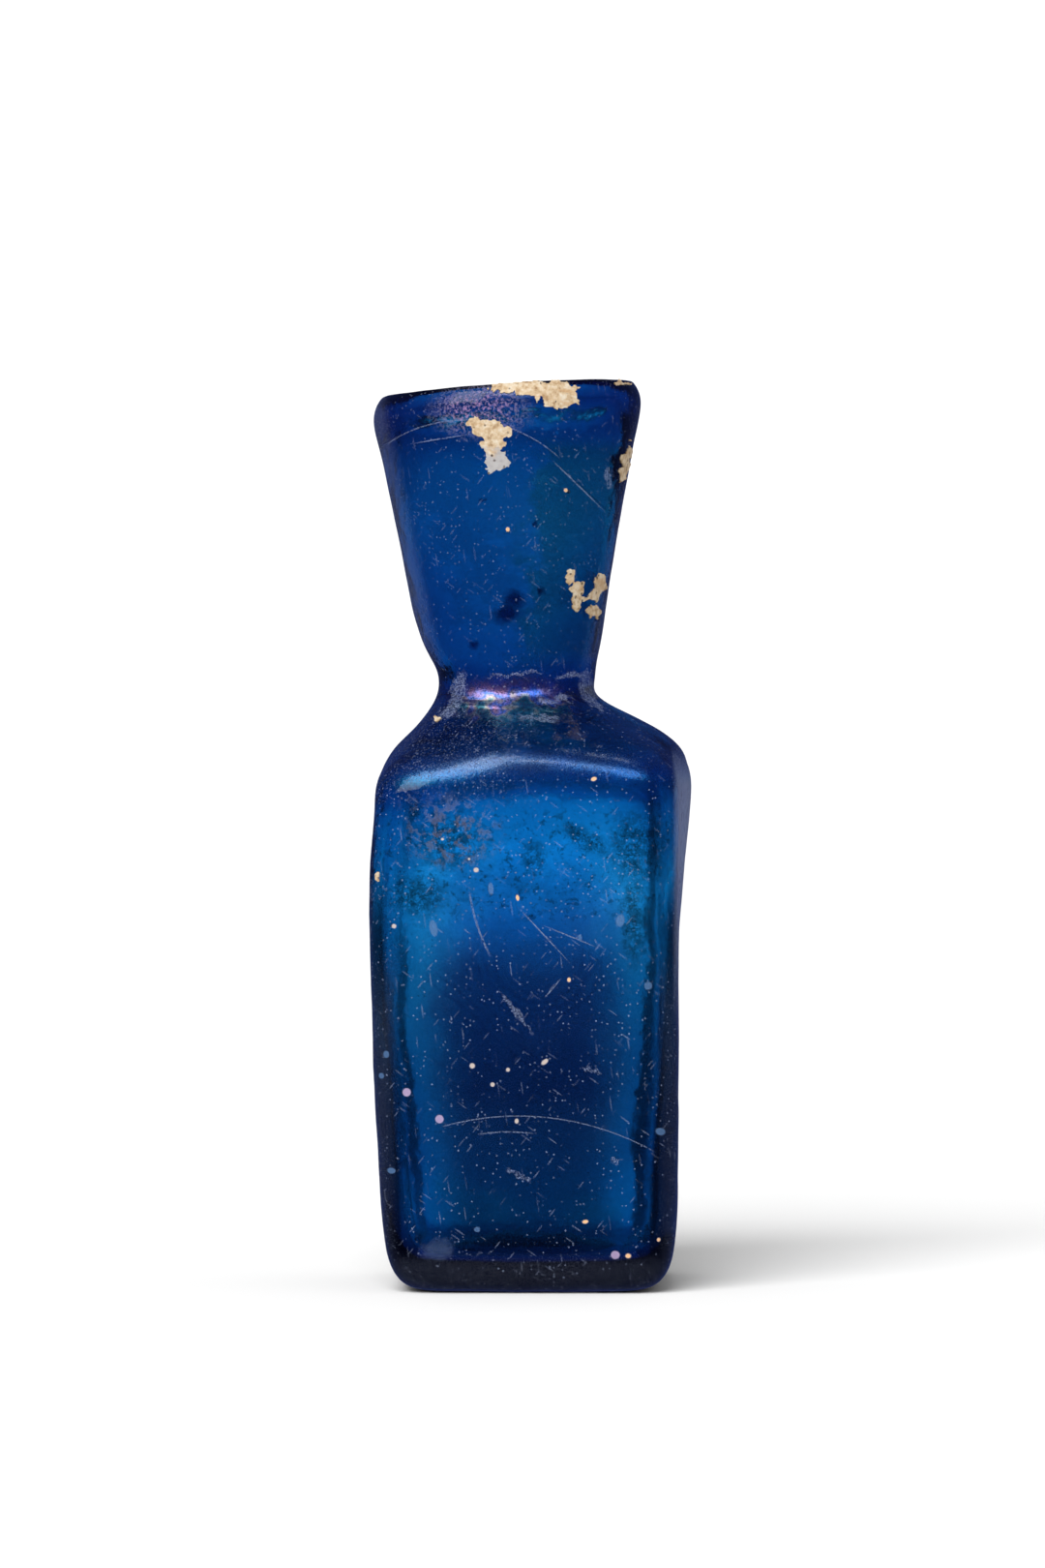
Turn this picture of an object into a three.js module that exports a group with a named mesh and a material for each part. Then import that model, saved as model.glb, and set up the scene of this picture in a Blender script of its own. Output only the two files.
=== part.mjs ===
// A small flask of deep blue blown glass: a square body, a pinched waist and a funnel neck.
// Millimetres, +Z up. The front faces -Y, and the origin is the middle of the foot's box.
import * as THREE from "three";

// Heights, each counted from the end of the one before
const bodyHeight = 51.7; // foot to the spring of the shoulder
const shoulderRise = 10.2; // spring of the shoulder to the narrowest place
const neckHeight = 30.3; // narrowest place to the top of the lip

// Outside half widths, measured square to a side
const footHalf = 14.95;
const lowSideHalf = 15.55; // the side's curve is drawn towards these two, and stays short of them
const highSideHalf = 16.3;
const shoulderHalf = 15.56;
const waistHalf = 8.0;
const funnelFootHalf = 9.72;
const funnelTopHalf = 13.42;
const mouthHalf = 13.87;

// Roundings of the outside
const heelReach = 4.5;
const heelRise = 6;
const shoulderRadius = 5.6;
const waistRadius = 2.9;
const flareLean = 20; // degrees, the wall's lean just above the waist
const flareHeight = 6.7; // narrowest place to where the funnel runs straight
const bendHeight = 3.4; // the stretch below the lip that turns upright

// Thicknesses of the glass
const floorThickness = 3.5;
const wallAtFoot = 2.5;
const wallAtBelly = 1.5;
const wallAtShoulder = 1.4;
const wallAtWaist = 1.8;
const wallAtFunnel = 1.35;
const lipThickness = 2.3;
const innerHeelRadius = 4.2;

// The underside is pushed up in the middle, and the floor inside follows it
const kickHalf = 6.8;
const kickRise = 1.3;

// How square a section is: 2 is round, and more is squarer
const roundPower = 2;
const outerPower = 6;
const innerPower = 4.6;

// What the maker's hand did: the body turns and bulges, and the neck stands askew
const bulgeHeight = 38; // above this the body turns and bulges
const footTurn = -0.5; // degrees about Z
const shoulderTurn = -5;
const bellyShift = -0.53; // sideways, along X
const shoulderShift = 0.6;
const waistShift = -1.55;
const funnelShift = -2.12;
const mouthShift = -2.37;
const shoulderTilt = 3.4; // degrees, the right side up
const waistTilt = 2.8;
const mouthTilt = 3.7;

// How finely the surface is faceted
const sides = 56;
const floorSteps = 4;
const footSteps = 2;
const heelSteps = 5;
const bodySteps = 9;
const arcSteps = 6;
const flareSteps = 3;
const funnelSteps = 5;
const bendSteps = 2;
const lipSteps = 8;

const waistZ = bodyHeight + shoulderRise;
const funnelZ = waistZ + flareHeight;
const lipRadius = lipThickness / 2;
const lipZ = waistZ + neckHeight - lipRadius;
const bendZ = lipZ - bendHeight;
const bellyZ = (heelRise + bodyHeight) / 2;
const innerSideZ = floorThickness + innerHeelRadius;
const flatHalf = footHalf - heelReach; // the foot is flat from the kick out to here

const { lerp, smoothstep, degToRad } = THREE.MathUtils;
const at = (half, height) => new THREE.Vector2(half, height);

// The value at a place, eased from each [place, value] station to the next
function easedAt(stations, place) {
  const next = stations.findIndex(([there]) => there > place);
  if (next === 0) return stations[0][1];
  if (next < 0) return stations[stations.length - 1][1];
  const [from, fromValue] = stations[next - 1];
  const [to, toValue] = stations[next];
  return lerp(fromValue, toValue, smoothstep(place, from, to));
}

// The points of a curve, without its first
const along = (curve, steps) => curve.getPoints(steps).slice(1);
const straight = (from, to, steps) => along(new THREE.LineCurve(from, to), steps);
const bent = (from, knee, to, steps) =>
  along(new THREE.QuadraticBezierCurve(from, knee, to), steps);

function rounded(centre, radius, fromAngle, toAngle, steps) {
  const clockwise = toAngle < fromAngle;
  return along(
    new THREE.EllipseCurve(
      centre.x, centre.y, radius, radius, fromAngle, toAngle, clockwise,
    ),
    steps,
  );
}

// A flat dome from the axis out to the kick's edge, at a height
function dome(height) {
  const top = height + kickRise;
  return new THREE.CubicBezierCurve(
    at(0, top), at(kickHalf / 2, top), at(kickHalf / 2, height), at(kickHalf, height),
  ).getPoints(floorSteps);
}

function foot() {
  return [...dome(0), ...straight(at(kickHalf, 0), at(flatHalf, 0), footSteps)];
}

function body() {
  const low = at(footHalf, heelRise);
  const high = at(shoulderHalf, bodyHeight);
  const third = (bodyHeight - heelRise) / 3;
  const side = new THREE.CubicBezierCurve(
    low, at(lowSideHalf, low.y + third), at(highSideHalf, high.y - third), high,
  );
  return [...bent(at(flatHalf, 0), at(footHalf, 0), low, heelSteps), ...along(side, bodySteps)];
}

// The shoulder's arc, the straight slope that touches both arcs, and the waist's arc
function shoulder() {
  const outward = at(shoulderHalf - shoulderRadius, bodyHeight);
  const inward = at(waistHalf + waistRadius, waistZ);
  const across = inward.clone().sub(outward);
  const turn = Math.asin((shoulderRadius + waistRadius) / across.length());
  const slope = across.angle() + turn;
  const flare = Math.PI - degToRad(flareLean);
  return [
    ...rounded(outward, shoulderRadius, 0, slope - Math.PI / 2, arcSteps),
    ...rounded(inward, waistRadius, slope + Math.PI / 2, flare, arcSteps),
  ];
}

// From the waist's arc up to the lip. The flare's knee is where its two slopes cross.
function funnel(start) {
  const low = at(funnelFootHalf, funnelZ);
  const high = at(funnelTopHalf, bendZ);
  const lean = Math.tan(degToRad(flareLean));
  const straightLean = (high.x - low.x) / (high.y - low.y);
  const drop = low.x - start.x - straightLean * (low.y - start.y);
  const kneeRise = drop / (lean - straightLean);
  const knee = at(start.x + lean * kneeRise, start.y + kneeRise);
  const upright = at(mouthHalf, (bendZ + lipZ) / 2);
  return [
    ...bent(start, knee, low, flareSteps),
    ...straight(low, high, funnelSteps),
    ...bent(high, upright, at(mouthHalf, lipZ), bendSteps),
  ];
}

function outside() {
  const lower = [...foot(), ...body(), ...shoulder()];
  return [...lower, ...funnel(lower[lower.length - 1])];
}

const wallAt = (height) =>
  easedAt(
    [
      [innerSideZ, wallAtFoot],
      [bellyZ, wallAtBelly],
      [bodyHeight, wallAtShoulder],
      [waistZ, wallAtWaist],
      [funnelZ, wallAtFunnel],
      [bendZ, wallAtFunnel],
      [lipZ, lipThickness],
    ],
    height,
  );

// The outside's points moved in by the wall, from the lip down to the floor
function inside(outer) {
  const wall = [];
  for (let i = outer.length - 2; outer[i].y > innerSideZ; i--) {
    const run = outer[i + 1].clone().sub(outer[i - 1]).normalize();
    const inward = at(-run.y, run.x).multiplyScalar(wallAt(outer[i].y));
    wall.push(outer[i].clone().add(inward));
  }
  const side = wall[wall.length - 1];
  const heel = bent(
    side,
    at(side.x, floorThickness),
    at(side.x - innerHeelRadius, floorThickness),
    heelSteps,
  );
  return [...wall, ...heel, ...dome(floorThickness).reverse()];
}

// How square the section is at a point of the profile. The middle of the foot stays round.
function powerAt(point, bodyPower) {
  const byHeight = [
    [bodyHeight, bodyPower],
    [waistZ, roundPower],
  ];
  const byWidth = [
    [kickHalf, roundPower],
    [flatHalf, bodyPower],
  ];
  return Math.min(easedAt(byHeight, point.y), easedAt(byWidth, point.x));
}

// How far a round section's point moves out to make a square one with rounded corners
function squaring(angle, power) {
  const cos = Math.abs(Math.cos(angle)) ** power;
  const sin = Math.abs(Math.sin(angle)) ** power;
  return 1 / (cos + sin) ** (1 / power);
}

const turnAt = (height) =>
  easedAt(
    [
      [bellyZ, footTurn],
      [bodyHeight, shoulderTurn],
    ],
    height,
  );

const shiftAt = (height) =>
  easedAt(
    [
      [0, 0],
      [bellyZ, bellyShift],
      [bulgeHeight, bellyShift],
      [bodyHeight, shoulderShift],
      [waistZ, waistShift],
      [funnelZ, funnelShift],
      [lipZ, mouthShift],
    ],
    height,
  );

const tiltAt = (height) =>
  easedAt(
    [
      [bellyZ, 0],
      [bodyHeight, shoulderTilt],
      [waistZ, waistTilt],
      [lipZ, mouthTilt],
    ],
    height,
  );

// The round flask is turned on its axis first, and then squared, turned, bowed and tilted
function flaskGeometry() {
  const outer = outside();
  const lip = rounded(at(mouthHalf - lipRadius, lipZ), lipRadius, 0, Math.PI, lipSteps);
  const profile = [...outer, ...lip, ...inside(outer)];
  const geometry = new THREE.LatheGeometry(profile, sides).rotateX(Math.PI / 2);
  const position = geometry.getAttribute("position");
  for (let i = 0; i < position.count; i++) {
    const place = i % profile.length;
    const { x: half, y: height } = profile[place];
    const isOutside = place < outer.length + lip.length / 2;
    const power = powerAt(profile[place], isOutside ? outerPower : innerPower);
    const angle = Math.atan2(position.getY(i), position.getX(i));
    const reach = half * squaring(angle, power);
    const turned = angle + degToRad(turnAt(height));
    const x = reach * Math.cos(turned);
    const y = reach * Math.sin(turned);
    const lift = x * Math.tan(degToRad(tiltAt(height)));
    position.setXYZ(i, x + shiftAt(height), y, height + lift);
  }
  return centred(geometry);
}

// The middle of the box comes over the origin, and the foot stays at Z 0
function centred(geometry) {
  geometry.computeBoundingBox();
  const middle = geometry.boundingBox.getCenter(new THREE.Vector3());
  geometry.translate(-middle.x, -middle.y, 0);
  geometry.computeVertexNormals();
  return geometry;
}

const cobaltGlass = new THREE.MeshStandardMaterial({
  color: 0x0c3c86,
  roughness: 0.25,
  metalness: 0,
  transparent: true,
  opacity: 0.7,
});

const flask = new THREE.Mesh(flaskGeometry(), cobaltGlass);
flask.name = "flask";

const part = new THREE.Group();
part.add(flask);

export default part;
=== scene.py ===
from math import atan2, degrees, pi, radians

import bmesh
import bpy
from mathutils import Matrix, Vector, noise


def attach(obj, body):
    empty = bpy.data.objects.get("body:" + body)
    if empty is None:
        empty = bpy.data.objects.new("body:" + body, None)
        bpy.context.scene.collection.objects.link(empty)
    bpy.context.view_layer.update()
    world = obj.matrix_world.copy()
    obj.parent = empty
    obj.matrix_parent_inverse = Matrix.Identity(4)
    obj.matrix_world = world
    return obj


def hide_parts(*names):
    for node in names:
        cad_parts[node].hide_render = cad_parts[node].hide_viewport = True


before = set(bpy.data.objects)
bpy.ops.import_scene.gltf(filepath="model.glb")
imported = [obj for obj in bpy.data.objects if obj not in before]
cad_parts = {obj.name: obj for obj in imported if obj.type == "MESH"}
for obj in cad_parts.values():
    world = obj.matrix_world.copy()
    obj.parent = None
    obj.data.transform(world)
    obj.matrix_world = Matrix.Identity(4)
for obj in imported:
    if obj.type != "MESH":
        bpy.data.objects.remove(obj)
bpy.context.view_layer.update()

mm = 0.001


def deselectAll():
    for thing in bpy.context.selected_objects:
        thing.select_set(False)


def workOn(piece):
    deselectAll()
    piece.select_set(True)
    bpy.context.view_layer.objects.active = piece


def applyModifier(piece, kind, settings):
    workOn(piece)
    modifier = piece.modifiers.new(kind.lower(), kind)
    for name, value in settings.items():
        setattr(modifier, name, value)
    bpy.ops.object.modifier_apply(modifier=modifier.name)


def selectVerts(piece, wanted):  # in edit mode, by a test of each one's place
    shape = bmesh.from_edit_mesh(piece.data)
    for vert in shape.verts:
        vert.select_set(wanted(vert.co))
    shape.select_flush_mode()
    bmesh.update_edit_mesh(piece.data)


def easedAt(stations, place):  # the value at a place, eased between [place, value] stations
    if place <= stations[0][0]:
        return stations[0][1]
    for (start, low), (end, high) in zip(stations, stations[1:]):
        if place <= end:
            part = (place - start) / (end - start)
            return low + (high - low) * part * part * (3 - 2 * part)
    return stations[-1][1]


def lookAt(place, aim):  # the turn that points a camera or a lamp at its aim
    return (aim - place).to_track_quat("-Z", "Y").to_euler()


# The photo was taken with a long lens, a little below the rim and nearly level. Millimetres.
camera = {
    "place": (-0.9, -700, 60),
    "aim": (-0.9, 0, 51.6),
    "tallView": 162,  # what the frame's long side takes in at the flask
    "sensor": 36,
    "nearest": 10,
}


def setCamera():
    place = Vector(camera["place"]) * mm
    aim = Vector(camera["aim"]) * mm
    distance = (aim - place).length
    bpy.ops.object.camera_add(location=place, rotation=lookAt(place, aim))
    made = bpy.context.object
    made.name = "camera"
    made.data.sensor_width = camera["sensor"]
    made.data.lens = camera["sensor"] * distance / (camera["tallView"] * mm)
    made.data.clip_start = camera["nearest"] * mm
    bpy.context.scene.camera = made
    print("camera set")


# A ring's values: height, half width, squareness. All in millimetres.
# Of squareness, 1 is a square ring and 0 a round one.
vessel = {
    "kick": (1.05, 3.2, 0),
    "outside": [
        (0.65, 5.2, 0), (0.0, 7.0, 0.2), (0.0, 9.0, 0.6), (0.0, 10.9, 0.85), (0.4, 13.05, 1.0),
        (2.6, 14.55, 1.0), (7.0, 15.12, 1.0), (14.0, 15.37, 1.0), (23.0, 15.6, 1.0),
        (32.0, 15.73, 1.0), (40.0, 15.7, 1.0), (46.5, 15.78, 0.98), (51.0, 15.75, 0.92),
        (53.9, 15.9, 0.88), (56.2, 14.15, 0.8), (58.3, 10.88, 0.55), (60.4, 8.1, 0.25),
        (61.9, 8.06, 0.1), (63.7, 8.12, 0), (66.0, 9.15, 0), (69.0, 9.85, 0), (74.5, 10.85, 0),
        (80.5, 11.95, 0), (86.0, 13.02, 0), (88.9, 13.75, 0), (90.7, 13.88, 0),
    ],
    "lip": [(92.0, 13.25, 0), (92.52, 12.7, 0), (91.9, 11.9, 0)],
    "inside": [
        (90.2, 11.55, 0), (87.5, 11.75, 0), (82.0, 10.95, 0), (75.5, 9.75, 0), (70.0, 8.6, 0),
        (66.5, 7.8, 0), (63.5, 6.4, 0), (61.2, 6.1, 0.05), (59.5, 7.3, 0.2), (57.6, 10.1, 0.5),
        (55.9, 12.5, 0.75), (54.1, 14.3, 0.86), (49.0, 14.75, 0.98), (41.0, 14.85, 1.06),
        (32.0, 14.8, 1.06), (23.0, 14.4, 1.05), (15.0, 13.95, 1.04), (9.5, 13.6, 1.03),
        (5.1, 13.2, 1.0), (3.4, 12.1, 0.95), (3.1, 9.8, 0.7), (3.5, 7.4, 0.3), (4.1, 5.0, 0),
        (4.5, 3.0, 0),
    ],
    # what the maker's hand did, by height
    "shift": [
        (0, 0.05), (28, -0.57), (40, -0.4), (51, 0.42), (53.5, 0.35), (57, -0.3), (60.3, -1.8),
        (62.3, -1.34), (68.6, -2.22), (92, -2.47),
    ],
    "turn": [(28, -0.5), (51.7, -5)],
    "tilt": [(28, 0), (51.7, 3.4), (62, 2.8), (92, 3.7)],
    # how low the corners hang
    "cornerDrop": [(43, 0), (51, 1.2), (54, 2.0), (57, 1.8), (61, 0)],
    "columns": 20,
    # degrees from a corner, how far that point moves out to make a round ring square,
    # and its share of the drop
    "pushes": [(0, 0.397, 1), (18, 0.1085, 0.6)],
    "near": 7,  # degrees, how near to that place a point counts
    "roundFit": 1.0166,  # a smoothed ring of points draws in by this much
    "squareFit": 0.0042,
    "smoothing": 3,
    "waveLength": 9,
    "waveHeight": 0.3,
}


def ringPlace(ring):
    height, half, square = ring
    return {
        "centre": Vector((easedAt(vessel["shift"], height), 0, height)) * mm,
        "radius": half * (vessel["roundFit"] - vessel["squareFit"] * square) * mm,
        "square": square,
        "drop": Vector((0, 0, -easedAt(vessel["cornerDrop"], height))) * mm,
        "turn": radians(easedAt(vessel["turn"], height)),
        "tilt": radians(easedAt(vessel["tilt"], height)),
    }


# Moves the selected ring's points near its four corners
def pushCorners(piece, ring, square, shift):
    shape = bmesh.from_edit_mesh(piece.data)
    chosen = [vert for vert in shape.verts if vert.select]
    offsets = [vert.co - ring["centre"] for vert in chosen]
    angles = [degrees(atan2(offset.y, offset.x) - ring["turn"]) % 90 for offset in offsets]
    for away, push, hang in vessel["pushes"]:
        for vert, angle in zip(chosen, angles):
            vert.select_set(abs(abs(angle - 45) - away) < vessel["near"])
        shape.select_flush_mode()
        bmesh.update_edit_mesh(piece.data)
        ratio = (1 + push * square) / (1 + push * ring["square"])
        bpy.ops.transform.translate(value=shift * hang)
        bpy.ops.transform.resize(value=(ratio, ratio, ratio), center_override=ring["centre"])
        shape = bmesh.from_edit_mesh(piece.data)
    for vert in chosen:
        vert.select_set(True)
    shape.select_flush_mode()
    bmesh.update_edit_mesh(piece.data)


def extrudeRing(piece, before, after):
    bpy.ops.mesh.extrude_edges_move()
    pushCorners(piece, before, after["square"], -before["drop"])
    grow = after["radius"] / before["radius"]
    bpy.ops.transform.resize(value=(grow, grow, grow), center_override=before["centre"])
    turns = (("Z", before["turn"] - after["turn"]), ("Y", after["tilt"] - before["tilt"]))
    for axis, value in turns:
        bpy.ops.transform.rotate(value=value, orient_axis=axis, center_override=before["centre"])
    bpy.ops.transform.translate(value=after["centre"] - before["centre"])
    if after["drop"].length:
        pushCorners(piece, after, after["square"], after["drop"])


def modelVessel():
    start = ringPlace(vessel["kick"])
    halfColumn = pi / vessel["columns"]
    deselectAll()
    bpy.ops.mesh.primitive_circle_add(
        vertices=vessel["columns"], radius=start["radius"], fill_type="NOTHING",
        location=start["centre"], rotation=(0, 0, halfColumn + start["turn"]),
    )
    piece = bpy.context.object
    piece.name = "blown_flask"
    bpy.ops.object.transform_apply()
    bpy.ops.object.mode_set(mode="EDIT")
    bpy.ops.mesh.select_all(action="SELECT")
    bpy.ops.mesh.fill_grid(span=vessel["columns"] // 4)
    bpy.ops.mesh.region_to_loop()
    bpy.ops.mesh.select_mode(type="VERT")
    rings = [ringPlace(ring) for ring in vessel["outside"] + vessel["lip"] + vessel["inside"]]
    before = start
    for after in rings:
        extrudeRing(piece, before, after)
        before = after
    bpy.ops.mesh.fill_grid(span=vessel["columns"] // 4)
    bpy.ops.mesh.select_all(action="SELECT")
    bpy.ops.mesh.normals_make_consistent(inside=False)
    bpy.ops.object.mode_set(mode="OBJECT")
    applyModifier(piece, "SUBSURF", {
        "levels": vessel["smoothing"], "render_levels": vessel["smoothing"],
    })
    waves = bpy.data.textures.new("waves", "CLOUDS")
    waves.noise_scale = vessel["waveLength"] * mm
    applyModifier(piece, "DISPLACE", {
        "texture": waves, "texture_coords": "LOCAL",
        "strength": vessel["waveHeight"] * mm, "mid_level": 0.5,
    })
    flattenFoot(piece)
    bpy.ops.object.shade_smooth()
    print("vessel modelled:", len(piece.data.polygons), "faces")
    return piece


def flattenFoot(piece):  # the waves leave the foot flat
    bpy.ops.object.mode_set(mode="EDIT")
    selectVerts(piece, lambda place: place.z < 0)
    bpy.ops.transform.resize(value=(1, 1, 0), center_override=(0, 0, 0))
    bpy.ops.object.mode_set(mode="OBJECT")


class Wire:  # a socket, so that sums on shader values read as sums
    def __init__(self, finish, socket):
        self.finish = finish
        self.socket = socket

    def __add__(self, other):
        return self.finish.maths("ADD", self, other)

    def __sub__(self, other):
        return self.finish.maths("SUBTRACT", self, other)

    def __rsub__(self, other):
        return self.finish.maths("SUBTRACT", other, self)

    def __mul__(self, other):
        return self.finish.maths("MULTIPLY", self, other)

    def __abs__(self):
        return self.finish.maths("ABSOLUTE", self)

    def __and__(self, other):  # where both are
        return self.finish.maths("MINIMUM", self, other)

    def __or__(self, other):  # where either is
        return self.finish.maths("MAXIMUM", self, other)

    __radd__ = __add__
    __rmul__ = __mul__


class Finish:
    def __init__(self, name):
        self.material = bpy.data.materials.new(name)
        self.material.use_nodes = True
        self.tree = self.material.node_tree
        self.tree.nodes.clear()
        spot = self.node("TexCoord", out="Object")
        toMillimetres = (1 / mm, 1 / mm, 1 / mm)
        self.place = self.node("Mapping", {}, {"Vector": spot, "Scale": toMillimetres})
        self.x, self.y, self.z = [
            self.node("SeparateXYZ", {}, {0: self.place}, out=axis) for axis in ("X", "Y", "Z")
        ]
        self.flat = self.node("CombineXYZ", {}, {"X": self.x, "Y": self.z})

    def node(self, kind, settings={}, values={}, out=0):
        made = self.tree.nodes.new("ShaderNode" + kind)
        for name, value in settings.items():
            if name == "stops":
                self.setStops(made.color_ramp, value)
            else:
                setattr(made, name, value)
        for name, value in values.items():
            if isinstance(value, Wire):
                self.tree.links.new(value.socket, made.inputs[name])
            else:
                made.inputs[name].default_value = value
        return Wire(self, made.outputs[out]) if made.outputs else None

    def setStops(self, ramp, stops):
        for element, (place, tone) in zip(ramp.elements, (stops[0], stops[-1])):
            element.position = place
            element.color = (*tone, 1)
        for place, tone in stops[1:-1]:
            ramp.elements.new(place).color = (*tone, 1)

    def maths(self, operation, *values):
        return self.node("Math", {"operation": operation}, dict(enumerate(values)))

    def eased(self, value, low, high):  # 0 at low, 1 at high
        return self.node(
            "MapRange", {"interpolation_type": "SMOOTHSTEP"},
            {"Value": value, "From Min": low, "From Max": high},
        )

    def noise(self, scale, detail=3, rough=0.5, vector=None):
        return self.node("TexNoise", {}, {
            "Vector": vector or self.place, "Scale": scale, "Detail": detail, "Roughness": rough,
        })

    def cells(self, scale, vector=None, out="Distance"):
        return self.node(
            "TexVoronoi", {}, {"Vector": vector or self.place, "Scale": scale}, out=out,
        )

    def moved(self, vector, shift, scale=(1, 1, 1), turn=0):
        return self.node("Mapping", {"vector_type": "TEXTURE"}, {
            "Vector": vector, "Location": shift, "Scale": scale, "Rotation": (0, 0, radians(turn)),
        })

    def away(self, vector):
        return self.node("VectorMath", {"operation": "LENGTH"}, {0: vector}, out="Value")

    def mixed(self, factor, first, second, blend="MIX"):
        return self.node(
            "Mix", {"data_type": "RGBA", "blend_type": blend}, {0: factor, 6: first, 7: second},
            out=2,
        )

    def ramp(self, value, stops):
        return self.node("ValToRGB", {"stops": stops}, {0: value})

    # 1 inside an oval of the front: x, z, half sizes, turn
    def oval(self, spot, vector=None, soft=0.1):
        x, z, halfX, halfZ, turn = spot
        near = self.moved(vector or self.flat, (x, z, 0), (halfX, halfZ, 1), turn)
        return self.eased(self.away(near), 1 + soft, 1 - soft)

    # A hairline along a circle of the front, between two places in x and two heights
    def arc(self, line):
        x, z, radius, half, left, right, low, high = line
        off = abs(self.away(self.moved(self.flat, (x, z, 0))) - radius)
        ends = self.eased(self.x, left, left + 1) & self.eased(self.x, right, right - 1)
        ends = ends & self.eased(self.z, low, low + 1) & self.eased(self.z, high, high - 1)
        return self.eased(off, half, half * 0.3) & ends

    def anyOf(self, masks):
        total = masks[0]
        for mask in masks[1:]:
            total = total | mask
        return total


def colour(red, green, blue):
    return (red, green, blue, 1)


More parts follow.
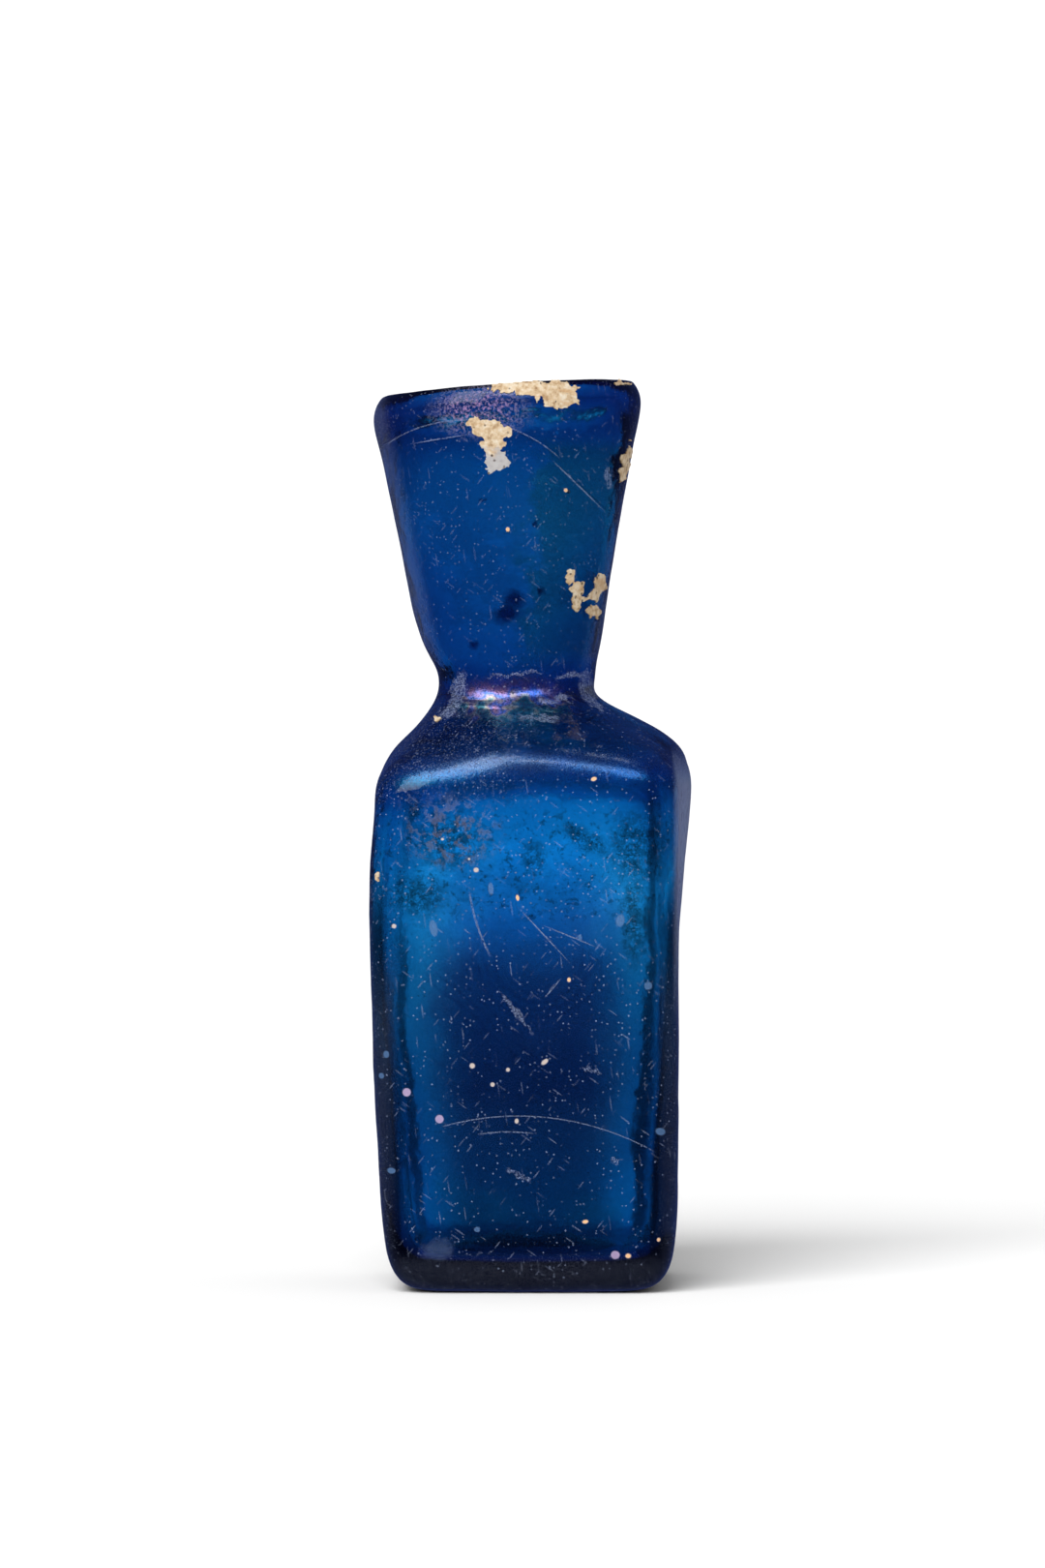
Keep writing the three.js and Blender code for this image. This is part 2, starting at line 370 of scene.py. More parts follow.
glass = {
    "absorb": (0.0, 0.712, 0.854),
    "density": 2600,
    "roughness": 0.05,
    "wornRoughness": 0.12,  # added in patches
    "index": 1.5,
    "height": 93,
    "heightTints": [  # how each wall dims the light, by height over the whole: partly the glass's own colour, partly painted light and shade, darker low in the body and on the shoulder slope, lighter high on the body
        (0.0, (1, 0.55, 0.45)), (0.07, (1, 0.52, 0.52)), (0.11, (1, 0.36, 0.44)),
        (0.22, (0.7, 0.2, 0.31)), (0.34, (0.4, 0.25, 0.4)), (0.41, (0.4, 0.47, 0.7)),
        (0.48, (0.5, 0.78, 1)), (0.57, (0.7, 0.84, 1)), (0.61, (0.38, 0.23, 0.36)),
        (0.68, (0.9, 0.52, 0.7)), (0.9, (0.9, 0.58, 0.74)), (1.0, (0.9, 0.75, 0.85)),
    ],
    "borderTints": [  # the same, towards the body's corners, where the glass is thinner; lighter there than in the middle, partly painted light
        (0.0, (1, 0.7, 0.5)), (0.045, (1, 0.92, 0.85)), (0.08, (1, 1, 1)), (0.13, (1, 0.6, 0.7)),
        (0.24, (0.7, 0.5, 0.6)), (0.34, (0.4, 0.5, 0.62)), (0.45, (0.5, 0.72, 0.9)),
        (0.57, (0.7, 0.78, 0.96)), (0.61, (0.4, 0.25, 0.37)),
    ],
    "cornerShade": colour(0.08, 0.025, 0.02),  # painted shade: the body's corners darkened, where the thick rounded glass turns the light aside
    "stain": colour(0.16, 0.13, 0.1),  # dark mottling under the shoulder
    "smudge": colour(0.2, 0.13, 0.25),
    "teal": colour(0.8, 0.84, 0.62),  # the greener half of the neck
    "stria": colour(0.3, 0.4, 0.6),
    # each oval: x, z, half width, half height, turn
    "stains": [
        (10.8, 45.5, 2.6, 3.4, 10), (-8, 46, 3.2, 2.6, 0), (0.3, 44.3, 1.2, 1.4, 0),
        (5.5, 46.2, 2.6, 0.9, -30), (10.3, 38, 1.1, 4.2, 0), (-11.5, 40.5, 2.6, 1.8, 0),
        (-0.2, 38.4, 0.4, 0.35, 0),
    ],
    "smudges": [
        (-2.5, 69.1, 1.3, 0.9, 25), (-1.8, 70.5, 1.0, 0.9, 0), (0.9, 71.4, 0.3, 0.35, 0),
        (-4.9, 80.7, 0.25, 0.2, 0), (0.3, 78.2, 0.25, 0.3, 0), (-5.7, 66, 0.5, 0.35, 0),
    ],
    "seeds": [
        (-12.62, 20.6, 0.42, 0.42, 0), (-9.3, 17.9, 0.42, 0.42, 0), (8.5, 4.1, 0.45, 0.42, 0),
    ],
    "paleSpots": [
        (-5.98, 23.3, 0.27, 0.27, 0), (-2.37, 22.9, 0.2, 0.2, 0), (-3.93, 21.4, 0.22, 0.22, 0),
        (1.35, 23.7, 0.4, 0.22, 40), (-1.49, 17.7, 0.2, 0.25, 0), (-5.59, 43.1, 0.26, 0.24, 0),
        (-13.9, 37.4, 0.24, 0.22, 0), (-9.0, 46.2, 0.16, 0.13, 0), (-6.3, 44.2, 0.12, 0.12, 0),
    ],
    "orangeSpots": [
        (5.45, 7.5, 0.3, 0.19, 10), (9.8, 4.0, 0.28, 0.24, 0), (12.9, 5.6, 0.18, 0.2, 0),
        (6.3, 52.3, 0.3, 0.2, 20), (-1.4, 40.3, 0.17, 0.3, 10), (3.8, 32.0, 0.18, 0.22, 0),
        (-2.4, 77.6, 0.2, 0.22, 0), (3.5, 81.6, 0.2, 0.2, 0),
    ],
    "blueOvals": [
        (-9.9, 37.2, 0.38, 0.8, 12), (-4.1, 41.2, 0.26, 0.6, 5), (8.97, 38, 0.42, 0.6, -10),
        (13.07, 16.6, 0.5, 0.36, -15), (-14.7, 24.4, 0.3, 0.36, 0), (14.63, 50.8, 0.1, 0.8, 0),
        (-15.2, 22.2, 0.28, 0.3, 0), (-14.2, 12.6, 0.42, 0.3, 0), (-5.5, 6.7, 0.3, 0.26, 0),
        (11.8, 31.4, 0.4, 0.4, 0), (4.9, 36.3, 0.2, 0.3, 0),
    ],
    "blueCloud": (-9.5, 4.5, 1.5, 0.9, 15),
    "scuffs": [
        (-7.5, 61.2, 0.7, 1.9, -12), (-8.3, 59.2, 1.3, 0.5, 30), (5.9, 61.4, 0.8, 1.6, 12),
        (4.6, 62.9, 2.0, 0.25, 8), (6.6, 59.8, 0.9, 0.3, -30), (0.8, 58.4, 1.9, 0.35, 0),
        (-1.6, 62.9, 2.6, 0.16, 3), (2.4, 60.3, 1.6, 0.25, 12), (-1.6, 28.8, 2.4, 0.2, -52),
        (-1.3, 12.2, 1.3, 0.22, -25), (6, 22.8, 0.9, 0.18, -15), (8.6, 13.7, 0.5, 0.2, 0),
        (7.9, 83, 0.4, 1.0, 10),
    ],
    "rimBloom": (-5.2, 89.6, 3.6, 2.0, 0),
    "brownPatch": (-8, 47, 3.4, 2.6, 0),
    "striae": (-4.6, 27.9, 8, 1.6, -42),
    "waistFilm": (-2, 60.0, 5.6, 2.3, 0),
    # each hairline: x, z, radius, half width, from x, to x, from height, to height
    "hairlines": [
        (-1.32, -9.79, 28.0, 0.08, -9.3, 12.6, 10, 20), (-2.3, -3.0, 19.6, 0.1, -5.6, 0.4, 10, 20),
        (12.6, 43.45, 19.03, 0.13, -7, -3.9, 34.2, 41),
        (-7.07, 73.7, 14.93, 0.08, -15.2, 3.1, 76, 90),
    ],
    # each stroke: x, z, half length, half width, turn
    "strokes": [
        (1.2, 36.6, 3.2, 0.06, -47), (3.9, 36.4, 2.4, 0.06, -22), (4.9, 82, 3.2, 0.07, -43),
        (-9.2, 86.8, 2.6, 0.06, 8), (2.2, 31.2, 1.0, 0.07, 50),
    ],
    # each field of scratches: direction, length, share left bare
    "scratches": [(35, 2.4, 0.86), (-52, 2, 0.87), (82, 3, 0.89)],
    # each field of dots: how close, how large, share left bare
    "specks": (1.5, 0.16, 0.56),
    "grains": (2.6, 0.3, 0.78),
    "swirl": (0.6, 34.6, 3.2, 7.6),  # x, z, and where its rings start and end
    "dustAndSheenShares": {
        "scuffs": 0.5, "rimBloom": 0.6, "shoulder": 0.3, "grains": 0.4, "specks": 0.55,
        "scratched": 0.4, "side": 0.46, "edges": 0.1, "veil": 0.03, "brown": 0.35,
        "ovals": 0.4, "cloud": 0.11, "seeds": 0.6, "paleSpots": 0.62, "orangeSpots": 0.85,
    },
    "dustAndSheenTones": {
        "thin": colour(0.21, 0.26, 0.44), "thick": colour(0.38, 0.45, 0.64),
        "rimBloom": colour(0.5, 0.22, 0.46), "brown": colour(0.12, 0.09, 0.12),
        "ovals": colour(0.12, 0.25, 0.5), "seeds": colour(0.5, 0.38, 0.6),
        "paleSpots": colour(0.75, 0.62, 0.55), "orangeSpots": colour(0.85, 0.5, 0.26),
    },
    "dustAndSheenRoughness": 0.7,
    "filmShares": {"waist": 0.95, "shoulder": 0.48, "lip": 0.04},
    "filmTones": [
        (0.28, (0.05, 0.28, 0.36)), (0.35, (0.14, 0.45, 0.55)), (0.43, (0.75, 0.7, 0.55)),
        (0.48, (0.7, 0.55, 0.75)), (0.53, (0.14, 0.34, 1)), (0.6, (0.55, 0.45, 1)),
        (0.7, (0.8, 0.42, 0.6)),
    ],
    "shoulderTones": [
        (0.15, (0.03, 0.55, 0.95)), (0.35, (0.12, 0.42, 0.85)), (0.5, (0.2, 0.38, 0.65)),
        (0.7, (0.2, 0.32, 0.6)), (0.9, (0.08, 0.16, 0.36)),
    ],
    "filmRoughness": 0.3,
    "bumpStrength": 0.5,
    "bumpDistance": 0.00006,
    "ridge": (59.5, 0.5, 3),  # the fold around the waist: height, half width, how high it stands
}


# What tints the light that goes through: the glass's colour, with painted light and shade by height
# and across the body, and painted shade on the body's corners
def glassTint(made, front, fine, broad, clumps, warp):
    # partly the glass's own colour, partly painted light and shade: darker low in the body and on
    # the shoulder slope, lighter higher up and towards the sides
    rise = made.z * (1 / glass["height"]) + (broad - 0.5) * 0.08
    tint = made.ramp(rise, glass["heightTints"])
    border = made.eased(abs(made.x + 0.4) + (broad - 0.5) * 7, 5, 12.5)
    border = border & made.eased(made.z, 58, 54)
    tint = made.mixed(border, tint, made.ramp(rise, glass["borderTints"]))

    # painted shade along the body's corners, wider lower down
    wide = made.eased(made.z, 40, 4) * 1.9
    cornerShade = made.eased(abs(made.x + 0.6) + wide, 14.2, 14.7) & made.eased(abs(made.y), 5, 10)
    cornerShade = cornerShade & made.eased(made.z, 46, 36)
    tint = made.mixed(cornerShade * 0.9, tint, glass["cornerShade"], "MULTIPLY")

    under = made.eased(made.z, 36, 41) & made.eased(made.z, 50.5, 48)
    stained = made.anyOf([made.oval(spot, warp, 0.5) for spot in glass["stains"]]) & front
    mottle = made.eased(clumps, 0.58, 0.65) & under
    mottle = mottle | (stained & made.eased(clumps * 0.6 + fine * 0.4, 0.46, 0.54))
    flecks = made.eased(made.noise(2.6, 5, 0.7), 0.6, 0.7) * 0.6
    mottle = mottle | (flecks & made.eased(made.z, 20, 30))
    tint = made.mixed(mottle * 0.85, tint, glass["stain"], "MULTIPLY")
    smudged = made.anyOf([made.oval(spot, warp, 0.6) for spot in glass["smudges"]]) & front
    tint = made.mixed(smudged, tint, glass["smudge"], "MULTIPLY")

    edge = made.x + (made.noise(0.35, 5, 0.65) - 0.5) * 11 - made.z * 0.12 + 9.6
    greener = made.eased(edge, -0.7, 1.1) & made.eased(made.z, 62, 66)
    greener = greener & made.eased(made.z, 87.5, 85.5) & front
    tint = made.mixed(greener, tint, glass["teal"], "MULTIPLY")

    x, z, start, end = glass["swirl"]
    around = made.away(made.moved(made.flat, (x, z, 0))) + (made.noise(0.35) - 0.5) * 2.4
    rings = made.maths("SINE", around * 7) * 0.5 + 0.5
    swirl = rings & made.eased(around, start, start + 1.2) & made.eased(around, end, end - 1.5)
    swirl = swirl & made.eased(made.z, z + 1.5, z - 1.5) & front
    x, z, *_, turn = glass["striae"]
    slanted = made.moved(made.flat, (x, z, 0), (7, 1, 1), turn)
    off = made.node("SeparateXYZ", {}, {0: slanted}, out="Y") + (made.noise(0.3) - 0.5) * 2
    lines = made.eased(made.maths("SINE", off * 6.5), 0.5, 0.95)
    lines = lines & made.oval(glass["striae"], None, 0.3)
    return made.mixed((swirl * 0.35 | lines * 0.4) & front, tint, glass["stria"], "MULTIPLY")


# A field of small dots, some of its cells left bare
def sprinkled(made, scale, size, share, vector=None):
    chosen = made.cells(scale, vector, "Color")
    chosen = made.node("SeparateXYZ", {}, {0: chosen}, out="X")
    spots = made.eased(made.cells(scale, vector), size, size * 0.5)
    return spots & made.eased(chosen, share, share + 0.15)


def glassScratches(made, front, fine, drift):
    fields = made.anyOf([
        sprinkled(made, 1, 0.3, share, made.node("Mapping", {"vector_type": "TEXTURE"}, {
            "Vector": made.place, "Rotation": (0, radians(angle), 0), "Scale": (length, 1.2, 0.3),
        }))
        for angle, length, share in glass["scratches"]
    ]) & drift
    hairlines = made.anyOf([made.arc(line) for line in glass["hairlines"]]) & front
    hairlines = hairlines & made.eased(fine, 0.38, 0.55)
    strokes = made.anyOf([made.oval(line, None, 0.4) for line in glass["strokes"]]) & front
    strokes = strokes & made.eased(fine, 0.36, 0.52)
    return made.anyOf([fields * 0.6, hairlines * 0.85, strokes])


# The scratches, pits, scuffs and spots, and their colours, with a painted sheen on the neck's edges
# and the right side face laid on among them
def glassDustAndSheen(made, front, fine, clumps, warp):
    drift = made.eased(made.noise(0.28, 4, 0.6), 0.3, 0.62)
    drift = drift * (made.eased(made.z, 68, 54) * 0.5 + 0.5)  # fewer of them on the neck
    specks = sprinkled(made, *glass["specks"]) & drift
    grains = sprinkled(made, *glass["grains"]) & drift
    scratched = glassScratches(made, front, fine, drift)

    def marks(name, soft, vector=None):
        return made.anyOf([made.oval(spot, vector, soft) for spot in glass[name]]) & front

    shares = glass["dustAndSheenShares"]
    seeds = marks("seeds", 0.15)
    paleSpots = marks("paleSpots", 0.3)
    orangeSpots = marks("orangeSpots", 0.3)
    cloud = made.oval(glass["blueCloud"], warp, 0.6) & front
    ovals = marks("blueOvals", 0.2) * shares["ovals"] | cloud * shares["cloud"]
    scuffs = marks("scuffs", 0.25, warp)
    scuffs = scuffs & made.eased(fine, 0.42, 0.52) & made.eased(made.noise(9, 3, 0.7), 0.44, 0.54)
    rimBloom = made.oval(glass["rimBloom"], warp, 0.7)
    rimBloom = rimBloom & made.eased(made.noise(3.6, 5, 0.75), 0.48, 0.64) & front
    # painted sheen: a pale haze on the right side face, where the glass is seen edge-on, laid on as
    # dust
    side = made.eased(made.x, 14.2, 15.2) & made.eased(made.z, 24, 46)
    side = (side & made.eased(made.z, 56, 51)) * (clumps * 0.9 + 0.55)
    # painted sheen along both edges of the neck, as seen from the front, laid on as dust
    edges = made.eased(abs(made.x + 2) - (made.z - 63) * 0.215, 6.4, 8.6)
    edges = edges & made.eased(made.z, 63, 66)
    veil = made.eased(abs(made.x + 0.4), 12.8, 14.8) & made.eased(made.z, 36, 26)
    veil = veil | made.eased(made.z, 4.6, 2.6)
    speckled = made.eased(made.noise(4, 4, 0.8), 0.56, 0.66)
    shoulder = made.eased(made.z, 49, 53) & made.eased(made.z, 61, 57)
    shoulder = shoulder & made.eased(made.x, 2, -8) & speckled
    brown = made.oval(glass["brownPatch"], warp, 0.7) & made.eased(clumps, 0.5, 0.6) & front
    dustAndSheen = made.anyOf([
        scuffs * shares["scuffs"], rimBloom * shares["rimBloom"], shoulder * shares["shoulder"],
        grains * shares["grains"], specks * shares["specks"], scratched * shares["scratched"],
        side * shares["side"], edges * shares["edges"], veil * shares["veil"],
        brown * shares["brown"], ovals, seeds * shares["seeds"],
        paleSpots * shares["paleSpots"], orangeSpots * shares["orangeSpots"],
    ])

    tones = glass["dustAndSheenTones"]
    tone = made.mixed(made.noise(0.9, 3), tones["thin"], tones["thick"])
    tone = made.mixed(rimBloom, tone, tones["rimBloom"])
    tone = made.mixed(brown, tone, tones["brown"])
    tone = made.mixed(ovals * 5, tone, tones["ovals"])
    tone = made.mixed(seeds, tone, tones["seeds"])
    tone = made.mixed(paleSpots, tone, tones["paleSpots"])
    tone = made.mixed(orangeSpots, tone, tones["orangeSpots"])
    return dustAndSheen, tone


# The thin film that shimmers at the waist, along the shoulder and under the lip
def glassFilm(made, fine, broad, waist):
    shares = glass["filmShares"]
    shoulder = made.eased(made.z, 50.8, 52.6) & made.eased(made.z, 56.6, 54)
    lip = made.eased(made.z, 85.5, 89.5) & made.eased(broad, 0.35, 0.6)
    film = made.anyOf([
        waist * shares["waist"], shoulder * shares["shoulder"], lip * shares["lip"],
    ]) * made.eased(fine, 0.28, 0.58)
    hue = made.noise(0.6, 1.5, 0.5) + (made.z - 60.4) * 0.09
    shimmer = made.ramp(hue, glass["filmTones"])
    shoulderHue = made.z * 0.16 - 8.1 + (made.noise(0.8) - 0.5) * 0.3
    shimmer = made.mixed(shoulder, shimmer, made.ramp(shoulderHue, glass["shoulderTones"]))
    return film, shimmer


def glassFinish():
    made = Finish("cobalt_glass")
    front = made.eased(made.y, 1, -4)  # the marks of the front stay off the back
    fine = made.noise(5.5, 4, 0.6)
    broad = made.noise(0.22, 4, 0.55)
    clumps = made.noise(1.1, 5, 0.62)
    wander = 1.6  # how far a soft mark's outline strays
    stray = made.node(
        "TexNoise", {}, {"Vector": made.place, "Scale": 1.4, "Detail": 4}, out="Color",
    )
    back = (wander / 2, wander / 2, 0)
    centred = made.node("VectorMath", {"operation": "SUBTRACT"}, {0: made.flat, 1: back})
    warp = made.node(
        "VectorMath", {"operation": "MULTIPLY_ADD"}, {0: stray, 1: (wander, wander, 0), 2: centred},
    )

    tint = glassTint(made, front, fine, broad, clumps, warp)
    dustAndSheen, dustAndSheenTone = glassDustAndSheen(made, front, fine, clumps, warp)
    waist = made.oval(glass["waistFilm"], warp, 0.5) & front
    film, shimmer = glassFilm(made, fine, broad, waist)

    z, half, stand = glass["ridge"]
    ridge = made.eased(abs(made.z + made.x * 0.06 - z), half, 0) & waist
    height = made.noise(0.45, 2) * 2.5 + made.noise(6, 3, 0.6) * 0.14 + ridge * stand
    bump = made.node("Bump", {}, {
        "Strength": glass["bumpStrength"], "Distance": glass["bumpDistance"], "Height": height,
    })
    worn = made.eased(made.noise(0.9, 5, 0.65), 0.45, 0.8)
    rough = glass["roughness"] + worn * glass["wornRoughness"]

    clear = made.node("BsdfPrincipled", {}, {
        "Base Color": tint, "Roughness": rough, "IOR": glass["index"], "Transmission Weight": 1,
        "Normal": bump,
    })
    filmed = made.node("BsdfPrincipled", {}, {
        "Base Color": shimmer, "Roughness": glass["filmRoughness"], "Metallic": 1, "Normal": bump,
    })
    # dust and the painted sheen share this layer
    dustAndSheenLayer = made.node("BsdfPrincipled", {}, {
        "Base Color": dustAndSheenTone, "Roughness": glass["dustAndSheenRoughness"], "Normal": bump,
    })
    body = made.node("MixShader", {}, {0: film, 1: clear, 2: filmed})
    body = made.node("MixShader", {}, {0: dustAndSheen, 1: body, 2: dustAndSheenLayer})
    absorb = made.node("VolumeAbsorption", {}, {
        "Color": colour(*glass["absorb"]), "Density": glass["density"],
    })
    made.node("OutputMaterial", {}, {"Surface": body, "Volume": absorb})
    print("glass finished:", len(made.tree.nodes), "nodes")
    return made.material


crust = {
    "cell": 0.09,
    "margin": 1.3,  # how much larger the sheet is that a flake is cut from
    "chips": 1.3,  # to a millimetre
    "chipped": 0.65,  # how straight the edges break, from 0 to 1
    "ragged": 0.6,
    "lift": 0.02,
    "thickness": 0.15,
    "relief": 0.04,
    "lumpSize": 1.5,
    # each flake's lobes: x, z, half width, half height
    "flakes": {
        "crust_lip": [(2.7, 91.2, 2.1, 1.5), (-1.3, 92.0, 3.3, 0.75), (0.8, 91.5, 1.6, 0.9)],
        "crust_lip_right": [(9.3, 92.7, 0.75, 0.3)],
        "crust_neck": [
            (-5.6, 88.3, 0.9, 0.7), (-4.3, 87.7, 1.5, 0.9), (-3.0, 87.4, 1.0, 0.7),
            (-3.9, 86.2, 1.2, 1.2), (-3.5, 84.9, 1.1, 1.1), (-3.4, 84.1, 1.4, 0.8),
        ],
        "crust_neck_side": [
            (10.0, 86.2, 0.45, 1.3), (9.7, 84.7, 0.45, 1.3), (9.25, 83.3, 0.22, 0.8),
        ],
        "crust_funnel": [
            (4.0, 72.8, 0.45, 0.9), (4.7, 71.5, 0.55, 0.9), (4.7, 70.1, 0.4, 0.8),
            (5.5, 70.5, 0.6, 0.28), (6.9, 72.1, 0.55, 1.1), (6.5, 70.9, 0.5, 0.9),
            (6.4, 69.4, 0.7, 0.9),
        ],
        "crust_shoulder": [(-9.6, 58.4, 0.5, 0.28)],
        "crust_side": [(-15.6, 42.4, 0.16, 0.5)],
    },
    "tones": [
        (0.3, (0.2, 0.11, 0.05)), (0.4, (0.4, 0.27, 0.15)), (0.52, (0.56, 0.43, 0.28)),
        (0.66, (0.64, 0.56, 0.44)),
    ],
    "streak": colour(0.5, 0.29, 0.13),
    "chalk": colour(0.34, 0.36, 0.4),
    "pit": colour(0.05, 0.03, 0.02),
    "roughness": 0.85,
    "bumpStrength": 0.7,
    "bumpDistance": 0.00006,
}


def inFlake(spot, lobes):  # spot in millimetres
    chip = noise.voronoi(spot * crust["chips"])[1][0] / crust["chips"]
    spot = spot.lerp(chip, crust["chipped"])  # it breaks along straight cracks
    ragged = noise.fractal(spot * 1.3, 0.7, 2.2, 4) * crust["ragged"]
    inside = min(
        ((spot.x - x) / half) ** 2 + ((spot.z - z) / tall) ** 2 for x, z, half, tall in lobes
    )
    return inside + ragged <= 1


def modelFlake(name, lobes, target):
    cell = crust["cell"] * mm
    start = -0.03  # the sheet hangs this far in front of the flask
    low = Vector((min(x - half for x, z, half, tall in lobes), 0,
                  min(z - tall for x, z, half, tall in lobes))) * mm
    high = Vector((max(x + half for x, z, half, tall in lobes), 0,
                   max(z + tall for x, z, half, tall in lobes))) * mm
    middle, size = (low + high) / 2, (high - low) * crust["margin"]
    deselectAll()
    bpy.ops.mesh.primitive_grid_add(
        x_subdivisions=max(3, int(size.x / cell)), y_subdivisions=max(3, int(size.z / cell)),
        size=1, location=(middle.x, start, middle.z), rotation=(pi / 2, 0, 0),
    )
    piece = bpy.context.object
    piece.name = name
    piece.scale = (size.x, size.z, 1)
    bpy.ops.object.transform_apply()
    bpy.ops.object.mode_set(mode="EDIT")
    shape = bmesh.from_edit_mesh(piece.data)
    for face in shape.faces:
        face.select_set(not inFlake(face.calc_center_median() / mm, lobes))
    bmesh.update_edit_mesh(piece.data)
    bpy.ops.mesh.delete(type="FACE")
    bpy.ops.mesh.select_all(action="SELECT")
    bpy.ops.mesh.vertices_smooth(factor=0.5, repeat=1)
    bpy.ops.object.mode_set(mode="OBJECT")
    applyModifier(piece, "SHRINKWRAP", {
        "wrap_method": "PROJECT", "target": target, "use_project_y": True,
        "use_positive_direction": True, "offset": crust["lift"] * mm,
    })
    bpy.ops.object.mode_set(mode="EDIT")
    selectVerts(piece, lambda place: place.y < start + 0.0001)  # those that missed the glass
    bpy.ops.mesh.delete(type="VERT")
    bpy.ops.object.mode_set(mode="OBJECT")
    lumps = bpy.data.textures.new(name, "CLOUDS")
    lumps.noise_scale = crust["lumpSize"] * mm
    lumps.noise_depth = 4
    applyModifier(piece, "SOLIDIFY", {"thickness": crust["thickness"] * mm, "offset": 0.4})
    applyModifier(piece, "DISPLACE", {
        "texture": lumps, "texture_coords": "LOCAL",
        "strength": crust["relief"] * mm * 2, "mid_level": 0.5,
    })
    workOn(piece)
    bpy.ops.object.shade_smooth_by_angle(angle=radians(50))
    return piece


def crustFinish():
    made = Finish("weathering_crust")
    grain = made.noise(1.6, 6, 0.65)
    tone = made.ramp(grain, crust["tones"])
    streaks = made.noise(1.2, 4, 0.6, made.moved(made.place, (0, 0, 0), (4, 4, 0.8)))
    tone = made.mixed(made.eased(streaks, 0.52, 0.68) * 0.55, tone, crust["streak"])
    # the lower end of the flake on the neck is chalky
    chalky = made.eased(made.z + (made.noise(1.1) - 0.5) * 3, 86, 85) & made.eased(made.x, 2, 0)
    chalky = chalky & made.eased(made.z, 80, 82)
    tone = made.mixed(chalky * 0.75, tone, crust["chalk"])
    pits = made.eased(made.cells(1.3), 0.26, 0.14) & made.eased(made.noise(0.8), 0.5, 0.56)
    tone = made.mixed(pits * 0.9, tone, crust["pit"])
    bump = made.node("Bump", {}, {
        "Strength": crust["bumpStrength"], "Distance": crust["bumpDistance"],
        "Height": made.noise(2.5, 6, 0.7) - pits,
    })
    dull = made.node("BsdfPrincipled", {}, {
        "Base Color": tone, "Roughness": crust["roughness"], "Normal": bump,
    })
    made.node("OutputMaterial", {}, {"Surface": dull})
    return made.material


studio = {
    "floorSize": 12,  # metres
    "paper": colour(0.95, 0.95, 0.95),
    "sky": 1.1,
    "glow": 1.5,  # painted light: the paper glows where it is seen through the glass, standing in for the light the glass lets through onto it
    "glowShare": 0.85,
    "fill": 0.42,  # the even light on the paper and on the flask
    "mirrored": (0.022, 0.034, 0.13),  # what the glass mirrors of the dim room
    "sun": {"place": (-25, -67, 61), "strength": 3.4, "angle": 42},
    # soft boxes that only show in the glass
    "boxAim": (0, 0, 50),
    "boxes": [
        {
            "name": "leftBox", "place": (-310, -330, 450), "size": (300, 400),
            "power": 0.85, "tone": (1, 1, 1),
        },
        {
            "name": "topBox", "place": (90, -20, 520), "size": (80, 60),
            "power": 0.02, "tone": (1, 1, 1),
        },
        {
            "name": "middleBox", "place": (-60, -380, 430), "size": (120, 60),
            "power": 0.07, "tone": (1, 1, 1),
        },
        {
            "name": "rightBox", "place": (110, -400, 430), "size": (210, 260),
            "power": 0.34, "tone": (0.4, 0.65, 1),
        },
    ],
    "bounces": 12,
}


def addBox(name, place, size, power, tone):
    place = Vector(place) * mm
    aim = Vector(studio["boxAim"]) * mm
    bpy.ops.object.light_add(type="AREA", location=place, rotation=lookAt(place, aim))
    light = bpy.context.object
    light.name = name
    light.data.shape = "RECTANGLE"
    light.data.size = size[0] * mm
    light.data.size_y = size[1] * mm
    light.data.energy = power
    light.data.color = tone
    light.visible_diffuse = False


def addSun(place, strength, angle):  # shines along the line from its place to the origin
    place = Vector(place)
    bpy.ops.object.light_add(
        type="SUN", location=place * 10 * mm, rotation=place.to_track_quat("Z", "Y").to_euler(),
    )
    sun = bpy.context.object
    sun.name = "sunLight"
    sun.data.energy = strength
    sun.data.angle = radians(angle)
    sun.visible_glossy = False
    sun.visible_transmission = False


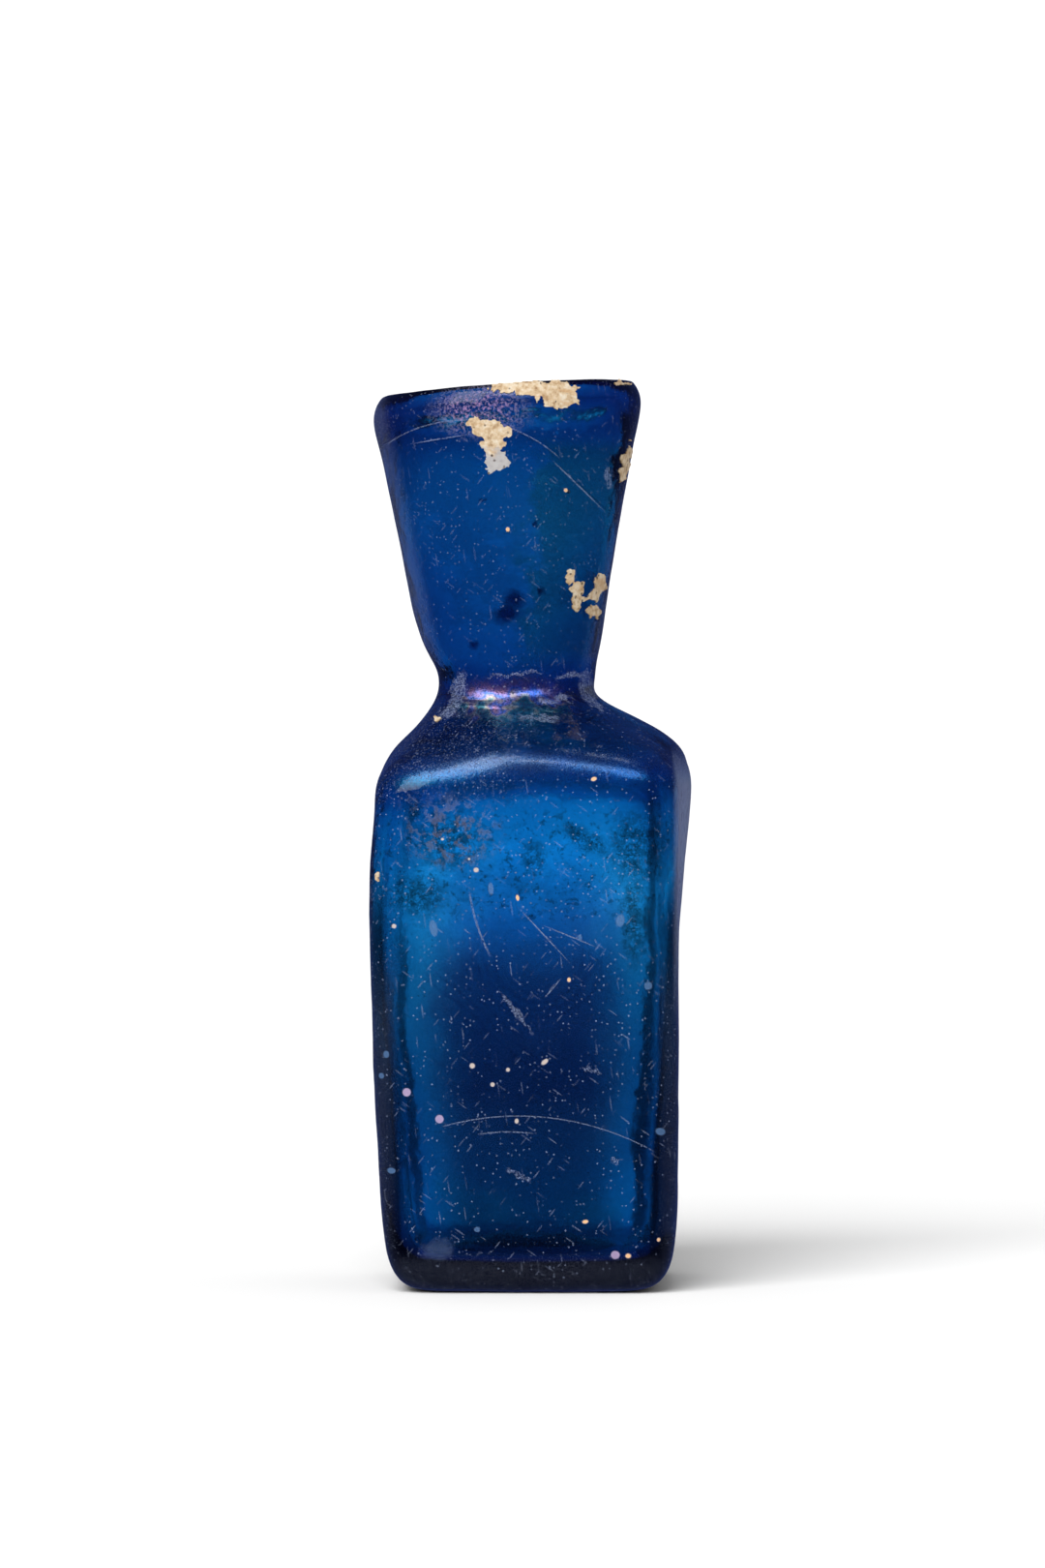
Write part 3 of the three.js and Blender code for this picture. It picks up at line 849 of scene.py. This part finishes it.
def setFloor():
    bpy.ops.mesh.primitive_plane_add(size=studio["floorSize"], location=(0, 0, 0))
    floor = bpy.context.object
    floor.name = "floor"
    paper = Finish("paper")
    white = paper.node("BsdfPrincipled", {}, {
        "Base Color": studio["paper"], "Roughness": 1, "Specular IOR Level": 0,
    })
    # painted light: seen through the glass, the paper glows
    glow = paper.node("Emission", {}, {"Strength": studio["glow"]})
    behind = paper.node("LightPath", out="Is Transmission Ray") * studio["glowShare"]
    surface = paper.node("MixShader", {}, {0: behind, 1: white, 2: glow})
    paper.node("OutputMaterial", {}, {"Surface": surface})
    floor.data.materials.append(paper.material)
    floor.visible_glossy = False


def setWorld():
    world = bpy.data.worlds.new("studio")
    bpy.context.scene.world = world
    world.use_nodes = True
    tree = world.node_tree
    tree.nodes.clear()

    def add(kind):
        return tree.nodes.new("ShaderNode" + kind)

    path = add("LightPath")
    mirrored = add("Math")
    mirrored.operation = "MULTIPLY"
    tree.links.new(path.outputs["Is Reflection Ray"], mirrored.inputs[0])
    tree.links.new(path.outputs["Is Glossy Ray"], mirrored.inputs[1])
    shade = None
    for mask, tone, strength in (
        (None, (1, 1, 1), studio["sky"]),
        (path.outputs["Is Diffuse Ray"], (1, 1, 1), studio["fill"]),
        (mirrored.outputs[0], studio["mirrored"], 1),
    ):
        light = add("Background")
        light.inputs["Color"].default_value = colour(*tone)
        light.inputs["Strength"].default_value = strength
        if mask is None:
            shade = light
            continue
        mix = add("MixShader")
        tree.links.new(mask, mix.inputs[0])
        tree.links.new(shade.outputs[0], mix.inputs[1])
        tree.links.new(light.outputs[0], mix.inputs[2])
        shade = mix
    tree.links.new(shade.outputs[0], add("OutputWorld").inputs["Surface"])


def setStudio():
    setFloor()
    setWorld()
    addSun(**studio["sun"])
    for box in studio["boxes"]:
        addBox(**box)
    scene = bpy.context.scene
    scene.view_settings.view_transform = "Standard"
    scene.cycles.use_denoising = True
    scene.cycles.caustics_refractive = False
    scene.cycles.caustics_reflective = False
    scene.cycles.max_bounces = studio["bounces"]
    scene.cycles.transmission_bounces = studio["bounces"]
    print("studio set")


def finishWith(piece, material):
    piece.data.materials.clear()
    piece.data.materials.append(material)


setCamera()
setStudio()
flask = modelVessel()
finishWith(flask, glassFinish())
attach(flask, "root")
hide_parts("flask")

crustMaterial = crustFinish()
for name, lobes in crust["flakes"].items():
    flake = modelFlake(name, lobes, flask)
    finishWith(flake, crustMaterial)
    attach(flake, "root")
print("crust modelled:", len(crust["flakes"]), "flakes")
